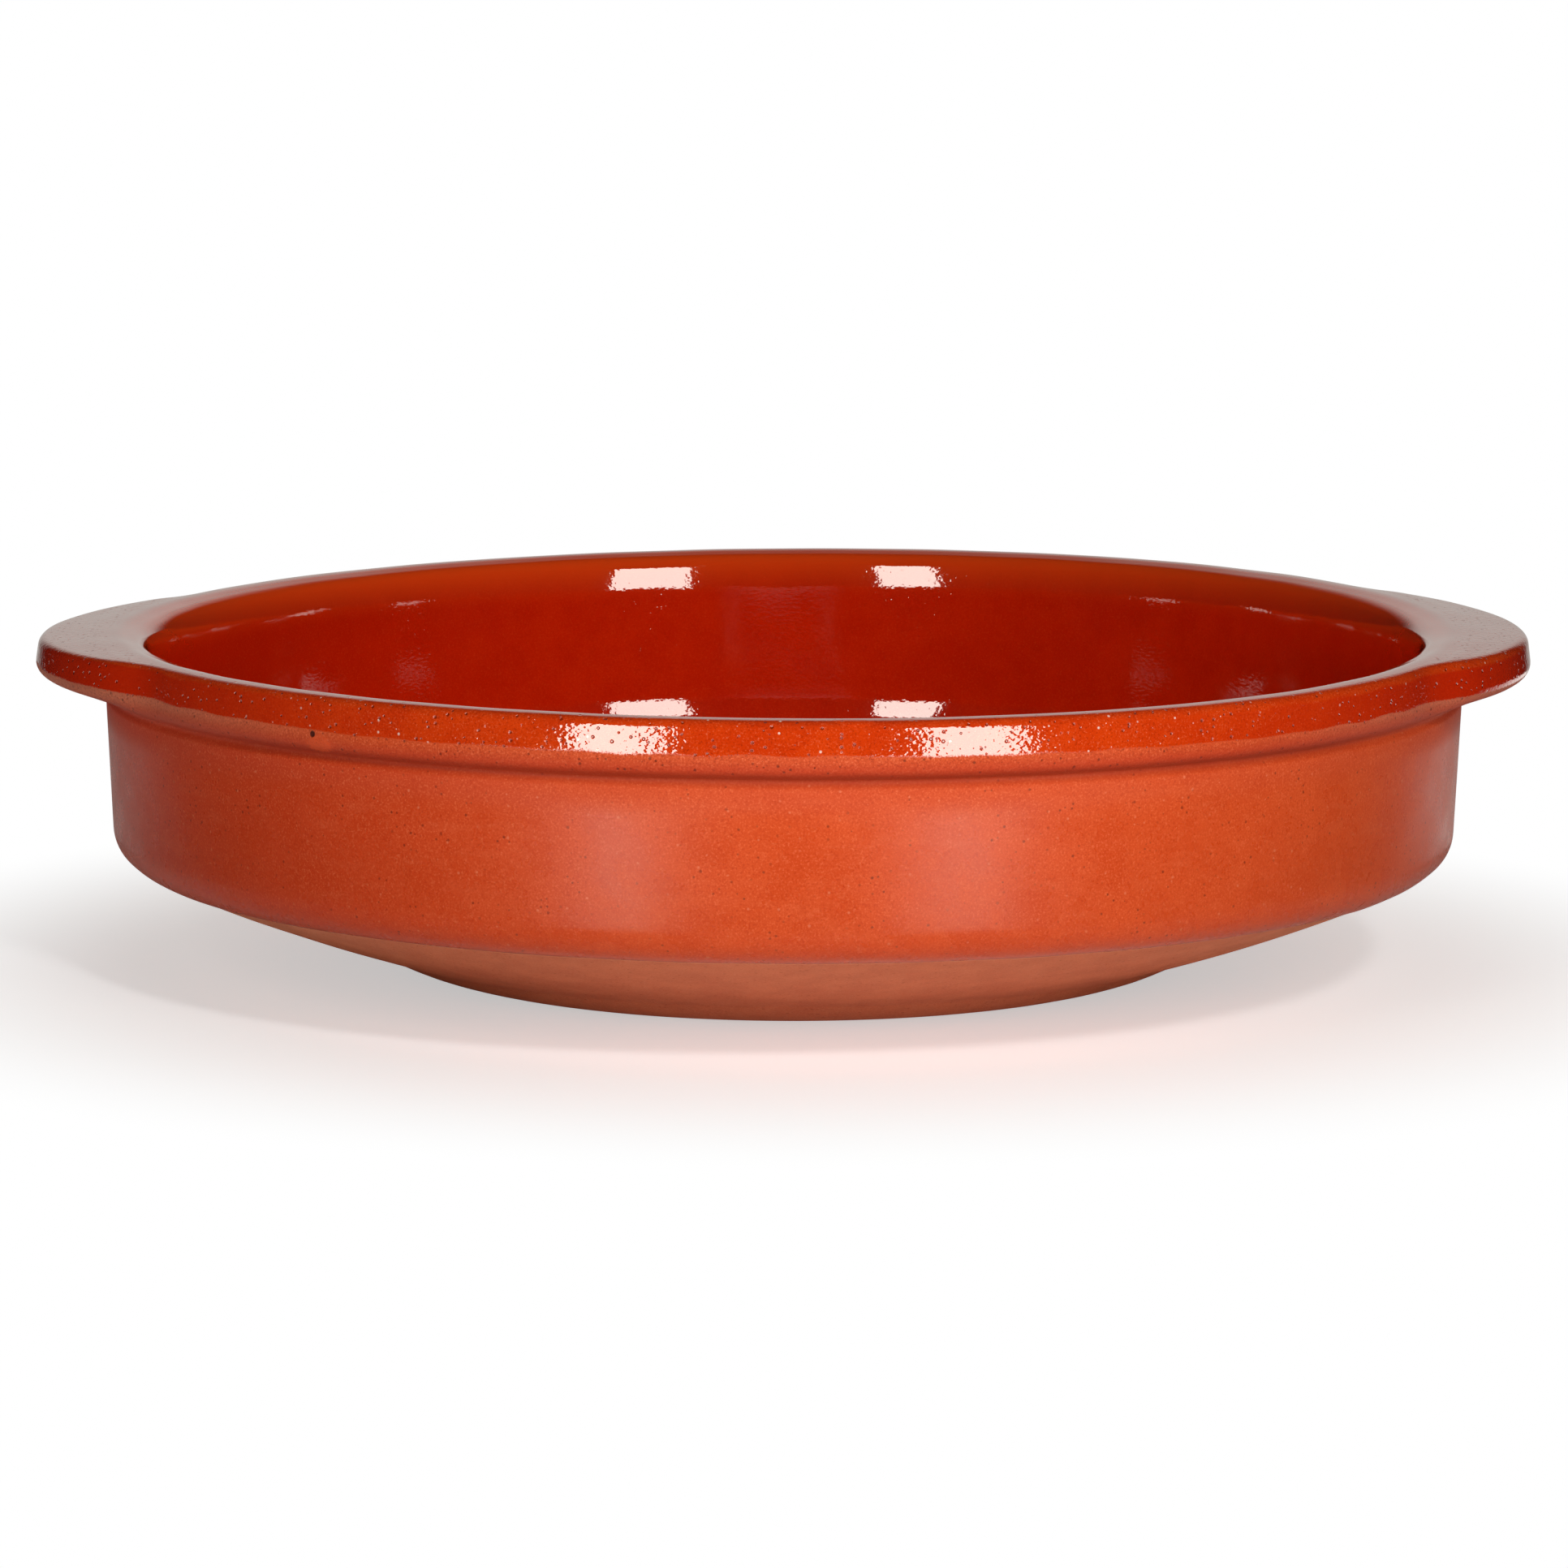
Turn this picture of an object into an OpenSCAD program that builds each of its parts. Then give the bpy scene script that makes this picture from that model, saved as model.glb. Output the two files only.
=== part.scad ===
// Cazuela: a round, shallow earthenware cooking dish with two lug handles in its rim.
// One moulded piece. Millimetres, +Z up, origin at the middle of the flat base, lugs along X.

/* [Overall] */
// Outer diameter of the rim, measured between the lugs
rim_d = 284; // [250:1:340]
// Height from the table to the top of the rim
dish_h = 70.5; // [62:0.5:95]

/* [Wall] */
// Thickness of the upright wall
wall_t = 9.5; // [6:0.5:12]
// Outward lean of the wall from upright, in degrees
wall_lean = 2.6; // [0:0.2:6]
// Height of the sharp corner that the wall and its bottom shelf would make
wall_base_z = 23.5; // [19:0.5:30]
// Outer radius between the wall and its bottom shelf
corner_r = 7.5; // [4:0.5:9]
// Width of the shelf under the wall, out from the line where the underside starts
shelf_w = 6.3; // [4:0.1:10]
// Rise of the shelf from level, in degrees
shelf_rise = 10.5; // [4:0.5:16]

/* [Rim] */
// How far the rim stands out over the wall
rim_overhang = 2; // [1:0.25:5]
// Height of the rim band, from its top to its lower edge
rim_h = 10.3; // [7:0.1:14]
// Height of the groove under the rim band
groove_h = 3.2; // [2:0.2:6]
// Depth of the groove under the rim band
groove_depth = 0.8; // [0.4:0.1:2]
// Distance of the crest of the rim from its outer face
crest_in = 2.1; // [2:0.1:4]
// Radius of the rim's outer top edge
rim_edge_r = 1.7; // [0.8:0.1:1.8]
// Radius of the rim's lower edge
rim_low_r = 1.8; // [0.8:0.1:2.5]
// Fall of the rim's top from the crest to the lip
lip_drop = 1.3; // [0.6:0.1:2]
// Radius of the lip on the inside of the rim
lip_r = 3.5; // [1:0.1:3.8]
// Height of the lip and the flared zone under it
flare_h = 6.1; // [5:0.1:12]
// Outward flare of the inside wall in that zone
flare_w = 1.3; // [0.4:0.1:2]
// Radius that blends the flare into the inside wall
flare_r = 20; // [5:1:40]

/* [Floor and foot] */
// Thickness of the floor
floor_t = 8; // [6:0.5:12]
// Diameter of the level part of the floor inside
floor_d = 140; // [110:1:160]
// Radius that blends the level floor into its slope
floor_blend_r = 60; // [20:1:90]
// Height of the sharp corner that the inside wall and the sloping floor would make
inner_base_z = 26; // [24:0.5:32]
// Inside radius between the wall and the floor
inner_corner_r = 18; // [12:0.5:20]
// Diameter of the foot where it leaves the underside
foot_d = 176; // [150:1:190]
// Height of the foot
foot_h = 6; // [4:0.5:9]
// Slope of the foot's side, in degrees
foot_slope = 29; // [24:1:45]
// Radius that rounds the foot's side into the flat base
foot_edge_r = 42; // [10:1:44]
// Radius in the corner between the foot and the underside
foot_root_r = 3; // [1:0.5:6]
// Bulge of the underside below a straight line from the foot to the shelf
under_bulge = 0.7; // [0:0.1:1.5]

/* [Lugs] */
// How far each lug reaches out past the rim
lug_reach = 12; // [8:0.5:20]
// Plan radius of the lug's curved edge
lug_r = 86; // [65:1:105]
// Thickness of the lug at its edge
lug_edge_t = 7.4; // [5:0.1:8]
// Thickness of the lug where it leaves the rim
lug_root_t = 8.9; // [5:0.1:9.2]
// Step from the rim's crest down to the lug's top
lug_step = 0.3; // [0.1:0.1:0.8]
// Fall of the lug's top from the rim to its edge
lug_fall = 0.7; // [0.2:0.1:1.5]
// Radius of the lug's top edge
lug_top_r = 1.5; // [0.5:0.1:2]
// Radius of the lug's lower edge
lug_low_r = 2.5; // [0.5:0.1:2.8]

/* [Hidden] */
$fn = 180;

// Largest turn of one facet along a rounded stretch of a section, in degrees
arc_step = 6;
// Number of steps along the bulged underside
bulge_steps = 8;
// Share of the shorter line beside a corner that its arc may take
even_share = 0.49;
// Share for an arc that takes nearly all of that line, and for its small neighbour
long_share = 0.93;
short_share = 0.06;

rim_r = rim_d / 2;
crest_r = rim_r - crest_in;
rim_low_z = dish_h - rim_h;
wall_top_z = rim_low_z - groove_h;
wall_top_r = rim_r - rim_overhang;
groove_r = wall_top_r - groove_depth;
groove_z = (wall_top_z + rim_low_z) / 2;
wall_base_r = outer_r(wall_base_z);
shelf_in = [wall_base_r - shelf_w, wall_base_z - shelf_w * tan(shelf_rise)];
foot_r = foot_d / 2;
foot_root = [foot_r, foot_h];
flat_base_r = foot_r - foot_h / tan(foot_slope);
flare_z = dish_h - flare_h;
lug_centre_x = rim_r + lug_reach - lug_r;

// Radius of the leaning wall at height z, outside and inside
function outer_r(z) = wall_top_r - (wall_top_z - z) * tan(wall_lean);
function inner_r(z) = outer_r(z) - wall_t / cos(wall_lean);

function unit(v) = v / norm(v);
function point(corner) = [corner.x, corner.y];

// The smaller signed angle that turns direction a0 into direction a1
function sweep(a0, a1) = (a1 - a0 + 540) % 360 - 180;

// An arc of radius r in the corner at c between its neighbours p and q, within its share of them
function rounded_corner(p, c, q, r, share) =
    let (to_p = unit(p - c))
    let (to_q = unit(q - c))
    let (half = acos(to_p * to_q) / 2)
    let (room = share * min(norm(p - c), norm(q - c)))
    let (fit_r = min(r, room * tan(half)))
    let (centre = c + unit(to_p + to_q) * fit_r / sin(half))
    let (start = c + to_p * fit_r / tan(half) - centre)
    let (end = c + to_q * fit_r / tan(half) - centre)
    let (a0 = atan2(start.y, start.x))
    let (turn = sweep(a0, atan2(end.y, end.x)))
    let (steps = max(1, ceil(abs(turn) / arc_step)))
    [for (i = [0:steps]) centre + fit_r * [cos(a0 + turn * i / steps), sin(a0 + turn * i / steps)]];

// A closed outline from corners [x, y, radius, share]; a corner with radius 0 stays sharp
function rounded(corners) =
    let (last = len(corners) - 1)
    [for (i = [0:last])
        let (before = point(corners[i == 0 ? last : i - 1]))
        let (after = point(corners[i == last ? 0 : i + 1]))
        let (share = is_undef(corners[i][3]) ? even_share : corners[i][3])
        each corners[i].z > 0
            ? rounded_corner(before, point(corners[i]), after, corners[i].z, share)
            : [point(corners[i])]];

// Corners along a shallow bulge of depth s to the right of the way from p to q
function bulge(p, q, s) =
    let (side = unit([q.y - p.y, p.x - q.x]))
    [for (i = [1:bulge_steps - 1])
        let (t = i / bulge_steps)
        let (on = p + (q - p) * t + side * 4 * s * t * (1 - t))
        [on.x, on.y, 0]];

// Half section of the dish, from the axis out along the underside and back over the inside
dish_section = concat(
    [[0, 0, 0]],
    [[flat_base_r, 0, foot_edge_r, long_share]],
    [[foot_root.x, foot_root.y, foot_root_r, short_share]],
    bulge(foot_root, shelf_in, under_bulge),
    [[shelf_in.x, shelf_in.y, 0]],
    [[wall_base_r, wall_base_z, corner_r, long_share]],
    [[wall_top_r, wall_top_z, groove_h / 2]],
    [[groove_r, groove_z, groove_depth]],
    [[rim_r, rim_low_z, rim_low_r]],
    [[rim_r, dish_h, rim_edge_r, long_share]],
    [[crest_r, dish_h, rim_h, short_share]],
    [[inner_r(flare_z) + flare_w, dish_h - lip_drop, lip_r]],
    [[inner_r(flare_z), flare_z, flare_r]],
    [[inner_r(inner_base_z), inner_base_z, inner_corner_r]],
    [[floor_d / 2, floor_t, floor_blend_r]],
    [[0, floor_t, 0]]
);

// Half section of the round plate that each lug is a segment of. Its top is level at zero as far
// as the rim and falls from there to the edge, and its underside rises towards the edge
lug_section = [
    [0, -lug_root_t, 0],
    [lug_r - lug_reach, -lug_root_t, 0],
    [lug_r, -lug_fall - lug_edge_t, lug_low_r],
    [lug_r, -lug_fall, lug_top_r],
    [lug_r - lug_reach, 0, 0],
    [0, 0, 0]
];

module shell() {
    rotate_extrude() polygon(rounded(dish_section));
}

// One lug towards +X: the part of a round plate that lies outside the rim's crest
module lug() {
    difference() {
        translate([lug_centre_x, 0, dish_h - lug_step])
            rotate_extrude() polygon(rounded(lug_section));
        cylinder(r = crest_r, h = 2 * dish_h);
    }
}

module cazuela() {
    color([0.76, 0.28, 0.10])
        union() {
            shell();
            for (side = [0, 180]) rotate([0, 0, side]) lug();
        }
}

cazuela();
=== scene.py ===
import math

import bpy
import numpy as np
from mathutils import Matrix, Vector


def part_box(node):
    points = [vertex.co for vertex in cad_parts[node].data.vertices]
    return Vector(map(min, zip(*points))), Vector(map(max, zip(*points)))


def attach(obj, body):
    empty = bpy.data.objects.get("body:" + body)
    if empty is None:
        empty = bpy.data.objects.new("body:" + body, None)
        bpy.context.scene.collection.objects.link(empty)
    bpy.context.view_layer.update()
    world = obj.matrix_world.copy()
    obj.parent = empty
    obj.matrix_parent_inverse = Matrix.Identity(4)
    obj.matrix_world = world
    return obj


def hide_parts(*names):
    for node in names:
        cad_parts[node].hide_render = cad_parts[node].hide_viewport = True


# A glazed earthenware cazuela, as photographed on white between two strip softboxes.
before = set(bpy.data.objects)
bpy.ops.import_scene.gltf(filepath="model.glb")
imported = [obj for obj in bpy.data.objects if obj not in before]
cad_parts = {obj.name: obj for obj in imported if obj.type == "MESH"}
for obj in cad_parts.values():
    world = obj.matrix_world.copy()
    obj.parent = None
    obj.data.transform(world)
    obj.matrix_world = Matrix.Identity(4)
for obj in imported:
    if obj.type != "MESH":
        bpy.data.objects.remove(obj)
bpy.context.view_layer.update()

# The dish and the camera are in millimetres, and the floor and the lights in metres.
MM = 0.001
box_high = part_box("cazuela")[1]
RIM_R = box_high.y / MM
LUG_TIP_R = box_high.x / MM
DISH_H = box_high.z / MM

# Wall, shelf and inside: as in the part's source, apart from the overhang of the rim and the
# rounded crease under the shelf.
WALL_T = 9.5
WALL_LEAN = math.radians(2.6)
RIM_OVERHANG = 1.8
WALL_TOP_R = RIM_R - RIM_OVERHANG
WALL_BASE_Z = 23.5
CORNER_R = 7.5
SHELF_W = 6.3
SHELF_RISE = math.radians(10.5)
CREASE_R = 0.25
FLOOR_T = 8.0
FLOOR_FLAT_R = 70.0
FLOOR_BLEND_R = 60.0
INNER_BASE_Z = 26.0
INNER_CORNER_R = 18.0

# Rim band: its height, the lean of its face, the fall of its top from the crest to the outer
# edge, the radii of its edges, and the place of the crest with the radius there.
RIM_H = 10.3
RIM_LOW_Z = DISH_H - RIM_H
FACE_LEAN = 0.55
EDGE_FALL = 0.46
LOW_EDGE_R = 2.6
TOP_EDGE_R = 2.2
CREST_IN = 3.9
CREST_R = RIM_R - FACE_LEAN - CREST_IN
CREST_ARC_R = 8.0

# Groove under the rim band, with the arc at its bottom, which widens under the lugs.
GROOVE_H = 3.2
GROOVE_DEPTH = 0.8
GROOVE_WIDEN = 2.0
WALL_TOP_Z = RIM_LOW_Z - GROOVE_H
GROOVE_R = WALL_TOP_R - GROOVE_DEPTH
GROOVE_Z = (WALL_TOP_Z + RIM_LOW_Z) / 2

# Lip, and the flared zone of the inside under it.
LIP_DROP = 1.3
LIP_R = 3.5
FLARE_H = 6.1
FLARE_Z = DISH_H - FLARE_H
FLARE_W = 1.3
FLARE_R = 20.0

# Foot and underside.
FOOT_R = 88.0
FOOT_H = 6.0
FOOT_SLOPE = math.radians(29)
FOOT_EDGE_R = 42.0
FOOT_ROOT_R = 3.0
UNDER_BULGE = 0.7

# Lugs: segments of a round plate whose circle has this radius in plan, with a fillet beside each.
LUG_R = 86.0
LUG_CENTRE_X = LUG_TIP_R - LUG_R
LUG_FILLET = 1.9
# The rim's section has turned into the lug's where the outline is this far out.
LUG_BLEND = 5.0
# Step from the crest to the lug, fall of its top, lean of its edge, and growth over the CAD part.
LUG_STEP = 0.3
LUG_FALL = 0.7
LUG_LEAN = 0.45
LUG_SPREAD = 0.9
# Height of the lugs' lower edge, and how much lower the right one is.
LUG_LOW_Z = 62.4
RIGHT_LUG_LOWER = 0.6
# Faint ridge that carries the rim over each lug.
RIDGE_R = 142.8
RIDGE_W = 1.3
RIDGE_H = 0.12

# The dish is hand finished: its rim is not quite level with its base, and is a little wavy.
RIM_TILT = 0.69
RIM_TWIST = -0.48
RIM_NOD = 0.12
RIM_SINK = 0.07
# The shelf runs a little higher under the lugs, from this sine of the azimuth from the front on.
SHELF_RAISE = {"left": 0.3, "right": 0.5}
RAISE_START = 0.84
RAISE_BLEND = 0.13
# That rise is full between these heights, and fades out above them over a further height.
RAISE_FULL_Z = 16
RAISE_FADE_Z = 24
RAISE_FADE_H = 20
# The foot is off the axis, up to the height where the shift has faded out.
FOOT_SHIFT = 0.4
FOOT_SHIFT_H = 22
# Shifts to the side fade out from this radius to the axis.
AXIS_BLEND = 60
# How far the glaze stands out over the bare clay.
GLAZE_T = 0.02

# Unevenness as crossing waves: height, number of waves, range of their turns round the axis,
# range of their lengths along the section, and seed.
WAVES = {
    "glaze_edge": (0.22, 9, (12, 70), (50, 90), 3),
    "surface": (0.04, 14, (5, 40), (20, 80), 11),
    "face": (0.005, 16, (50, 130), (7, 24), 12),
    "out_of_round": (0.25, 4, (2, 5), (300, 600), 21),
}

# How far the camera stands to the left of straight in front.
CAMERA_TURN = math.radians(1.5)

# Sections round the axis. Many more would take the mesh past 200,000 triangles.
AZIMUTHS = 488

# Share of the shorter line beside a corner that its arc may take.
EVEN_SHARE = 0.49
LONG_SHARE = 0.93
SHORT_SHARE = 0.06
CORNER_SHARES = {
    "foot_edge": LONG_SHARE,
    "foot_root": SHORT_SHARE,
    "shelf_edge": LONG_SHARE,
    "top_edge": 0.55,
    "crest": 0.4,
}

# The face of the rim ends at this point of its top edge's arc, and the slip at this one of the
# crease's. The face's own waves fade out over a few points.
FACE_END = 3
SLIP_END = 2
FACE_FADE = 3

# How far the glaze runs down the rim's face, by degrees from the front towards the right.
GLAZE_DEPTHS = {
    0: 5.7,
    40: 6.4,
    65: 6.4,
    90: 6.1,
    135: 5.9,
    180: 6.1,
    225: 5.5,
    270: 3.9,
    300: 5.6,
    325: 5.8,
    360: 5.7,
}

# Limits of the distances that are kept on the mesh, and the height the band's is measured from.
GLAZE_LIMITS = (-12, 6)
BAND_LIMITS = (-8, 8)
INSIDE_LIMITS = (-12, 16)
BAND_Z = GROOVE_Z + 0.5


def smoothstep(t):
    t = np.clip(t, 0, 1)
    return t * t * (3 - 2 * t)


def outer_r(z):
    return WALL_TOP_R - (WALL_TOP_Z - z) * math.tan(WALL_LEAN)


def inner_r(z):
    return outer_r(z) - WALL_T / math.cos(WALL_LEAN)


def waves(name, azimuth, along):
    """A smooth field of crossing waves that closes on itself round the axis."""
    height, count, turns, lengths, seed = WAVES[name]
    rng = np.random.default_rng(seed)
    field = np.zeros(np.broadcast(azimuth, along).shape)
    for _ in range(count):
        k = rng.integers(*turns)
        length = rng.uniform(*lengths) * rng.choice([-1, 1])
        field = field + np.sin(k * azimuth + math.tau * along / length + rng.uniform(0, math.tau))
    return height * (field / math.sqrt(2 * count))


def lug_reach(azimuth):
    """How far the outline stands out past the rim at each azimuth from +X."""
    c, s = np.abs(np.cos(azimuth)), np.sin(azimuth)
    on_circle = LUG_R**2 - (LUG_CENTRE_X * s) ** 2
    reach = LUG_CENTRE_X * c + np.sqrt(np.maximum(on_circle, 0)) - RIM_R
    blend = np.maximum(LUG_FILLET - np.abs(reach), 0) / LUG_FILLET
    return np.maximum(reach, 0) + blend**2 * LUG_FILLET / 4


def unit(v):
    return v / np.linalg.norm(v, axis=-1, keepdims=True)


def to_the_right(v):
    """Directions in the section's plane, turned a quarter clockwise."""
    return v[..., [1, 0]] * [1, -1]


def corner_arc(before, corner, after, radius, steps, share):
    """Points of an arc in a corner, a row per azimuth, within its share of the lines beside it."""
    to_p, to_q = unit(before - corner), unit(after - corner)
    half = np.arccos(np.clip((to_p * to_q).sum(-1), -1, 1)) / 2
    room = share * np.minimum(
        np.linalg.norm(before - corner, axis=-1), np.linalg.norm(after - corner, axis=-1)
    )
    radius = np.minimum(radius, room * np.tan(half))
    centre = corner + unit(to_p + to_q) * (radius / np.sin(half))[:, None]
    start = corner + to_p * (radius / np.tan(half))[:, None] - centre
    end = corner + to_q * (radius / np.tan(half))[:, None] - centre
    first = np.arctan2(start[:, 1], start[:, 0])
    last = np.arctan2(end[:, 1], end[:, 0])
    turn = (last - first + 3 * math.pi) % math.tau - math.pi
    t = np.linspace(0, 1, steps + 1)
    angle = first[:, None] + turn[:, None] * t
    return centre[:, None] + radius[:, None, None] * np.stack([np.cos(angle), np.sin(angle)], -1)


def section_corners(reach, right):
    """The half section from the axis out along the underside and back over the inside. Each row
    has a name, radius from the axis, height, radius of the arc, steps of the arc, and points on
    the way to the next corner. Some values are one per azimuth."""
    on_lug = smoothstep(reach / LUG_BLEND)
    out_r = RIM_R + reach + LUG_SPREAD * on_lug
    edge_r = out_r - FACE_LEAN - LUG_LEAN * on_lug
    low_z = RIM_LOW_Z + (LUG_LOW_Z - RIM_LOW_Z - RIGHT_LUG_LOWER * right) * on_lug
    edge_fall = EDGE_FALL + (LUG_STEP - EDGE_FALL) * on_lug
    top_z = DISH_H - edge_fall - LUG_FALL * reach / (LUG_TIP_R - RIM_R)
    groove_arc_r = GROOVE_DEPTH + GROOVE_WIDEN * on_lug
    base_r = outer_r(WALL_BASE_Z)
    shelf_in = (base_r - SHELF_W, WALL_BASE_Z - SHELF_W * math.tan(SHELF_RISE))
    return [
        ("under_axis", 0, 0, 0, 0, 8),
        ("foot_edge", FOOT_R - FOOT_H / math.tan(FOOT_SLOPE), 0, FOOT_EDGE_R, 11, 1),
        ("foot_root", FOOT_R, FOOT_H, FOOT_ROOT_R, 5, 14),
        ("crease", *shelf_in, CREASE_R, 3, 1),
        ("shelf_edge", base_r, WALL_BASE_Z, CORNER_R, 14, 15),
        ("wall_top", WALL_TOP_R, WALL_TOP_Z, GROOVE_H / 2, 4, 1),
        ("groove", GROOVE_R, GROOVE_Z, groove_arc_r, 5, 3),
        ("low_edge", out_r, low_z, LOW_EDGE_R, 7, 10),
        ("top_edge", edge_r, top_z, TOP_EDGE_R, 7, 6),
        ("crest", CREST_R, DISH_H, CREST_ARC_R, 4, 4),
        ("lip", inner_r(FLARE_Z) + FLARE_W, DISH_H - LIP_DROP, LIP_R, 11, 1),
        ("flare", inner_r(FLARE_Z), FLARE_Z, FLARE_R, 7, 9),
        ("inside_corner", inner_r(INNER_BASE_Z), INNER_BASE_Z, INNER_CORNER_R, 12, 5),
        ("floor_edge", FLOOR_FLAT_R, FLOOR_T, FLOOR_BLEND_R, 8, 9),
        ("inside_axis", 0, FLOOR_T, 0, 0, 0),
    ]


def section(reach, right):
    """Points of the half section at each azimuth, as (azimuths, points, 2), and where each
    corner starts."""
    n = len(reach)
    corners = section_corners(reach, right)
    places = [np.stack([np.broadcast_to(c[1], n), np.broadcast_to(c[2], n)], -1) for c in corners]
    arcs = []
    for i, (name, _, _, radius, steps, _) in enumerate(corners):
        if steps == 0:
            arcs.append(places[i][:, None])
        else:
            radius = np.broadcast_to(radius, n)
            share = CORNER_SHARES.get(name, EVEN_SHARE)
            arcs.append(corner_arc(*places[i - 1 : i + 2], radius, steps, share))
    pieces, starts, count = [], {}, 0
    for i, (name, _, _, _, _, straight) in enumerate(corners):
        starts[name] = count
        pieces.append(arcs[i])
        count += arcs[i].shape[1]
        if straight:
            t = np.linspace(0, 1, straight + 2)[1:-1]
            start, end = arcs[i][:, -1], arcs[i + 1][:, 0]
            line = start[:, None] + (end - start)[:, None] * t[:, None]
            if name == "foot_root":
                side = to_the_right(unit(end - start))
                line = line + side[:, None] * (4 * UNDER_BULGE * t * (1 - t))[:, None]
            pieces.append(line)
            count += straight
    return np.concatenate(pieces, 1), starts


def finish_fields(rz, along, starts, azimuth, from_front):
    """Signed distances that the finishes are placed by, each as (azimuths, points)."""
    index = np.arange(rz.shape[1])[None, :]
    face_top = starts["top_edge"] + FACE_END
    turns = np.radians(list(GLAZE_DEPTHS))
    depth = np.interp(from_front % math.tau, turns, list(GLAZE_DEPTHS.values()))
    edge_z = rz[:, face_top, 1] - depth + waves("glaze_edge", azimuth, 0)
    glaze = np.clip(rz[..., 1] - edge_z[:, None], *GLAZE_LIMITS)
    glaze = np.where(index > face_top, GLAZE_LIMITS[1], glaze)
    glaze = np.where(index < starts["shelf_edge"], GLAZE_LIMITS[0], glaze)
    band = np.clip(rz[..., 1] - BAND_Z, *BAND_LIMITS)
    return {
        "glaze_mm": glaze,
        "slip_mm": along - along[:, [starts["crease"] + SLIP_END]],
        "band_mm": np.where(index < starts["shelf_edge"], BAND_LIMITS[0], band),
        "inside_mm": np.clip(along - along[:, [starts["crest"]]], *INSIDE_LIMITS),
    }


def build_dish():
    """Points of the dish in metres, as (azimuths, points, 3), and the fields of its finishes."""
    azimuth = np.arange(AZIMUTHS) * math.tau / AZIMUTHS
    from_front = azimuth + math.pi / 2 + CAMERA_TURN
    reach = lug_reach(azimuth)
    rz, starts = section(reach, np.cos(azimuth) > 0)
    step = np.linalg.norm(np.diff(rz, axis=1), axis=-1)
    along = np.concatenate([np.zeros((AZIMUTHS, 1)), np.cumsum(step, 1)], 1)
    normal = to_the_right(unit(np.gradient(rz, axis=1)))
    fields = finish_fields(rz, along, starts, azimuth, from_front)

    # The coat of glaze, the ridge over each lug, and waves that spare the flat base.
    a = azimuth[:, None]
    index = np.arange(rz.shape[1])[None, :]
    face_top = starts["top_edge"] + FACE_END
    lift = GLAZE_T * smoothstep(fields["glaze_mm"]) - GLAZE_T
    on_lug = smoothstep(reach / LUG_BLEND)[:, None]
    on_top = (index > face_top) & (index < starts["lip"])
    ridge = RIDGE_H * on_lug * np.exp(-(((rz[..., 0] - RIDGE_R) / RIDGE_W) ** 2))
    lift = lift + np.where(on_top, ridge, 0)
    lift = lift + waves("surface", a, along)
    above_low = smoothstep((index - starts["low_edge"]) / FACE_FADE)
    below_top = smoothstep((face_top + FACE_FADE - index) / FACE_FADE)
    lift = lift + above_low * below_top * waves("face", a, along)
    off_base = smoothstep(rz[..., 1] / FOOT_H)
    rz = rz + normal * (lift * off_base)[..., None]

    # Out of round, tilt and twist of the rim over a base that stays flat.
    r, z = rz[..., 0], rz[..., 1]
    section_z = z
    high = np.clip((z - WALL_BASE_Z) / (DISH_H - WALL_BASE_Z), 0, 1)
    r = r + waves("out_of_round", a, z) * smoothstep(r / AXIS_BLEND)
    front = from_front[:, None]
    rise = RIM_TILT * np.sin(front) + RIM_TWIST * np.sin(2 * front)
    z = z + high * (rise - RIM_NOD * np.cos(front) - RIM_SINK)

    # The rise of the shelf under the lugs, and the shift of the foot.
    at_side = smoothstep((np.abs(np.sin(front)) - RAISE_START) / RAISE_BLEND)
    at_shelf = smoothstep(section_z / RAISE_FULL_Z)
    at_shelf = at_shelf * (1 - smoothstep((section_z - RAISE_FADE_Z) / RAISE_FADE_H))
    raised = np.where(np.sin(front) > 0, SHELF_RAISE["right"], SHELF_RAISE["left"])
    z = z + raised * at_side * at_shelf
    at_foot = 1 - smoothstep(section_z / FOOT_SHIFT_H)
    x = r * np.cos(a) + FOOT_SHIFT * at_foot * smoothstep(r / AXIS_BLEND)
    return np.stack([x, r * np.sin(a), z], -1) * MM, fields


def dish_mesh():
    points, fields = build_dish()
    # The first and last ring close on the axis, so each is one vertex.
    inner = points[:, 1:-1].reshape(-1, 3)
    ends = np.array([points[:, 0].mean(0), points[:, -1].mean(0)])
    verts = np.concatenate([inner, ends])
    width = points.shape[1] - 2
    i = np.arange(AZIMUTHS)
    here, there = i * width, ((i + 1) % AZIMUTHS) * width
    j = np.arange(width - 1)
    near, far = here[:, None] + j, there[:, None] + j
    quads = np.stack([near, far, far + 1, near + 1], -1).reshape(-1, 4)
    below, inside = len(inner), len(inner) + 1
    fans = [(below, int(t), int(h)) for h, t in zip(here, there)]
    fans += [(inside, int(h) + width - 1, int(t) + width - 1) for h, t in zip(here, there)]
    mesh = bpy.data.meshes.new("glazed_dish")
    mesh.from_pydata(verts.tolist(), [], quads.tolist() + fans)
    for name, field in fields.items():
        values = np.concatenate([field[:, 1:-1].ravel(), [field[0, 0], field[0, -1]]])
        attribute = mesh.attributes.new(name, "FLOAT", "POINT")
        attribute.data.foreach_set("value", values.astype(np.float32))
    mesh.polygons.foreach_set("use_smooth", [True] * len(mesh.polygons))
    mesh.validate()
    return mesh


# The smallest size of a dot in its cell, and the share of its radius that is its full middle.
NO_DOT = 0.0001
DOT_MIDDLE = 0.35
WHITE = (1, 1, 1, 1)


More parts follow.
